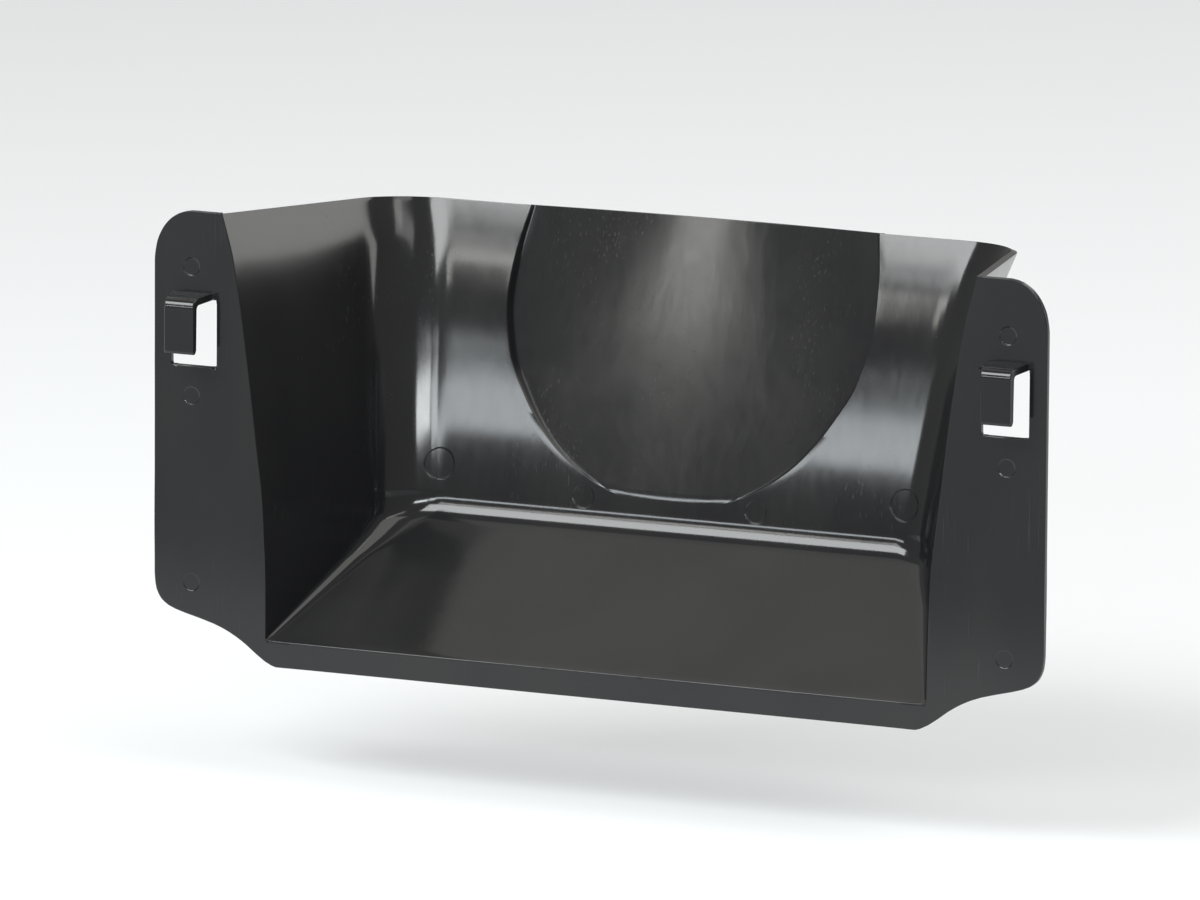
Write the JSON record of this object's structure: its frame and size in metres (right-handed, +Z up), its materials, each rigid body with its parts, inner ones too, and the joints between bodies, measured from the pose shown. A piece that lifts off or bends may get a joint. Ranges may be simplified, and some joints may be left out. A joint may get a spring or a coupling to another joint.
{
  "type": "cage hopper feeder",
  "caption": "Open-fronted plastic hopper for hay or feed that hangs outside a wire rabbit cage on moulded hooks, with a sloping floor, flared back wall and flat side flanges.",
  "frame": {"origin": "midway between the hooks, in the plane of the flanges' wire side, level with the undersides of the hooks, where the cage's level wire passes", "axes": "+X across the opening, +Y away from the cage, +Z up"},
  "size_m": [0.3308, 0.1083, 0.156],
  "materials": {
    "black_plastic": "semi-gloss moulded plastic"
  },
  "bodies": {
    "root": {"hopper_shell": "black_plastic"}
  },
  "joints": []
}
